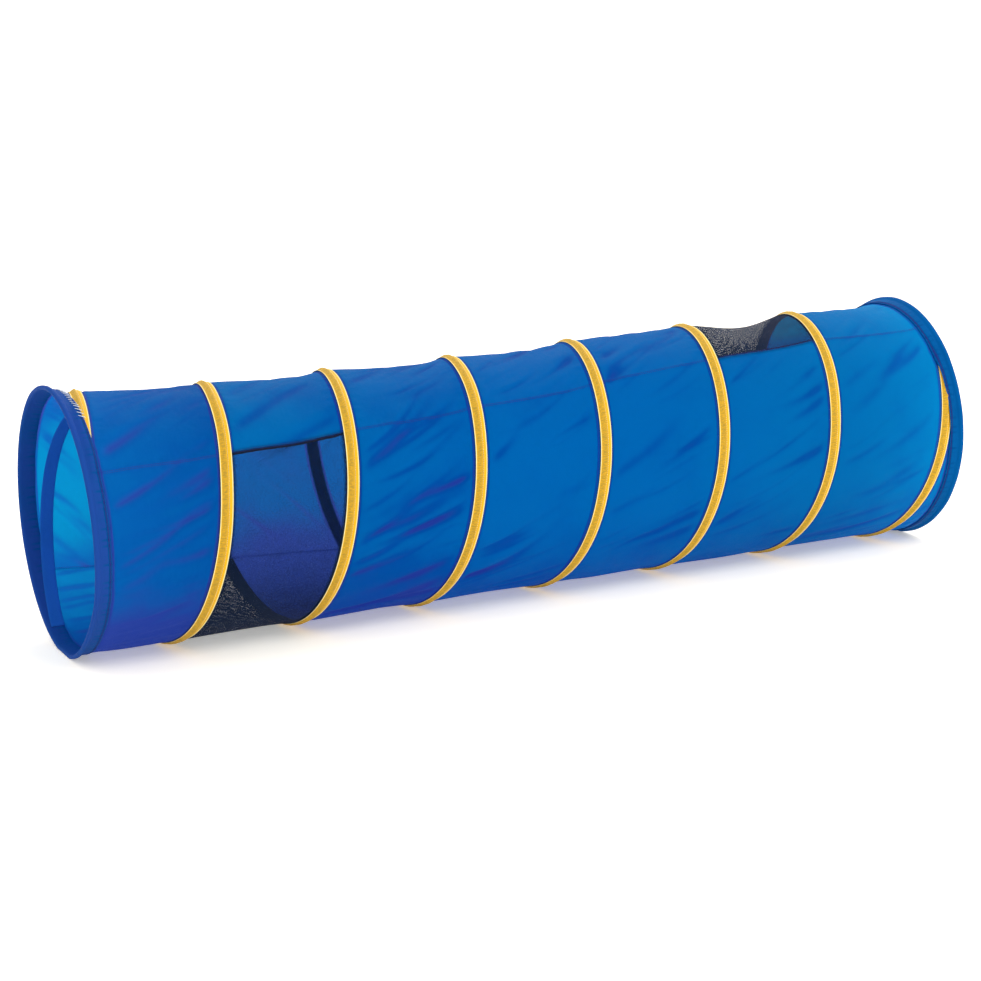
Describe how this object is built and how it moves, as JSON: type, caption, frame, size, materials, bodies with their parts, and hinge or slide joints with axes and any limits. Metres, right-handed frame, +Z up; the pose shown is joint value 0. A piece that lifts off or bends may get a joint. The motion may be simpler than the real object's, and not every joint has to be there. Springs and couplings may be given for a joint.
{
  "type": "agility tunnel",
  "caption": "Pop-up training tunnel of blue nylon on a helical spring wire in yellow casing, with hooped ends and black mesh windows; it collapses flat.",
  "frame": {"origin": "on the ground, below the middle of the tunnel", "axes": "+X along the tunnel towards its right end, +Y to the far side, +Z up"},
  "size_m": [1.829, 0.4834, 0.483],
  "materials": {
    "tunnel_cloth": "blue nylon taffeta, thin and slightly sheer, soft sheen",
    "hem_cloth": "the same blue nylon, doubled and stitched",
    "casing_tape": "yellow woven binding tape with stitched edges",
    "window_mesh": "black knitted netting, see-through",
    "window_binding": "black bias tape",
    "spring_steel": "bright drawn spring wire"
  },
  "bodies": {
    "left_end": {"left_hoop": "spring_steel", "left_hoop_ferrule": "spring_steel", "left_hem": "hem_cloth"},
    "turn_1": {"coil_turn_1": "spring_steel", "casing_turn_1": "casing_tape", "left_hem_stay": "hem_cloth", "upper_end_gusset": "tunnel_cloth", "upper_panel_0": "tunnel_cloth", "lower_panel_0": "tunnel_cloth"},
    "turn_2": {"coil_turn_2": "spring_steel", "casing_turn_2": "casing_tape", "upper_panel_1": "tunnel_cloth", "lower_window_mesh": "window_mesh", "lower_window_binding_left": "window_binding", "lower_window_binding_right": "window_binding", "lower_window_binding_near": "window_binding", "lower_window_binding_far": "window_binding"},
    "turn_3": {"coil_turn_3": "spring_steel", "casing_turn_3": "casing_tape", "upper_panel_2": "tunnel_cloth", "lower_panel_2": "tunnel_cloth"},
    "turn_4": {"coil_turn_4": "spring_steel", "casing_turn_4": "casing_tape", "upper_panel_3": "tunnel_cloth", "lower_panel_3": "tunnel_cloth"},
    "turn_5": {"coil_turn_5": "spring_steel", "casing_turn_5": "casing_tape", "upper_panel_4": "tunnel_cloth", "lower_panel_4": "tunnel_cloth"},
    "turn_6": {"coil_turn_6": "spring_steel", "casing_turn_6": "casing_tape", "upper_window_mesh": "window_mesh", "lower_panel_5": "tunnel_cloth", "upper_window_binding_left": "window_binding", "upper_window_binding_right": "window_binding", "upper_window_binding_near": "window_binding", "upper_window_binding_far": "window_binding"},
    "turn_7": {"coil_turn_7": "spring_steel", "casing_turn_7": "casing_tape", "upper_panel_6": "tunnel_cloth", "lower_panel_6": "tunnel_cloth"},
    "right_end": {"right_hoop": "spring_steel", "right_hoop_ferrule": "spring_steel", "right_hem": "hem_cloth", "lower_panel_7": "tunnel_cloth"}
  },
  "joints": [
    {"name": "collapse", "type": "slide", "parent": "left_end", "child": "right_end", "axis": [1, 0, 0], "range_m": [-1.709, 0], "stiffness_N_per_m": 5, "springref_m": 0.25, "deforming": ["lower_panel_7"]},
    {"name": "turn_1_travel", "type": "slide", "parent": "left_end", "child": "turn_1", "axis": [1, 0, 0], "range_m": [-0.1397, 0], "deforming": ["coil_turn_1", "casing_turn_1", "left_hem_stay", "upper_end_gusset", "upper_panel_0", "lower_panel_0"]},
    {"name": "turn_2_travel", "type": "slide", "parent": "left_end", "child": "turn_2", "axis": [1, 0, 0], "range_m": [-0.374, 0], "deforming": ["coil_turn_2", "casing_turn_2", "upper_panel_1", "lower_window_mesh", "lower_window_binding_left", "lower_window_binding_right", "lower_window_binding_near", "lower_window_binding_far"]},
    {"name": "turn_3_travel", "type": "slide", "parent": "left_end", "child": "turn_3", "axis": [1, 0, 0], "range_m": [-0.6151, 0], "deforming": ["coil_turn_3", "casing_turn_3", "upper_panel_2", "lower_panel_2"]},
    {"name": "turn_4_travel", "type": "slide", "parent": "left_end", "child": "turn_4", "axis": [1, 0, 0], "range_m": [-0.8677, 0], "deforming": ["coil_turn_4", "casing_turn_4", "upper_panel_3", "lower_panel_3"]},
    {"name": "turn_5_travel", "type": "slide", "parent": "left_end", "child": "turn_5", "axis": [1, 0, 0], "range_m": [-1.1215, 0], "deforming": ["coil_turn_5", "casing_turn_5", "upper_panel_4", "lower_panel_4"]},
    {"name": "turn_6_travel", "type": "slide", "parent": "left_end", "child": "turn_6", "axis": [1, 0, 0], "range_m": [-1.3733, 0], "deforming": ["coil_turn_6", "casing_turn_6", "upper_window_mesh", "lower_panel_5", "upper_window_binding_left", "upper_window_binding_right", "upper_window_binding_near", "upper_window_binding_far"]},
    {"name": "turn_7_travel", "type": "slide", "parent": "left_end", "child": "turn_7", "axis": [1, 0, 0], "range_m": [-1.6298, 0], "deforming": ["coil_turn_7", "casing_turn_7", "upper_panel_6", "lower_panel_6"]}
  ],
  "couplings": [
    {"joint": "turn_1_travel", "follows": "collapse", "ratio": 0.0816},
    {"joint": "turn_2_travel", "follows": "collapse", "ratio": 0.2187},
    {"joint": "turn_3_travel", "follows": "collapse", "ratio": 0.3598},
    {"joint": "turn_4_travel", "follows": "collapse", "ratio": 0.5076},
    {"joint": "turn_5_travel", "follows": "collapse", "ratio": 0.6561},
    {"joint": "turn_6_travel", "follows": "collapse", "ratio": 0.8034},
    {"joint": "turn_7_travel", "follows": "collapse", "ratio": 0.9535}
  ]
}
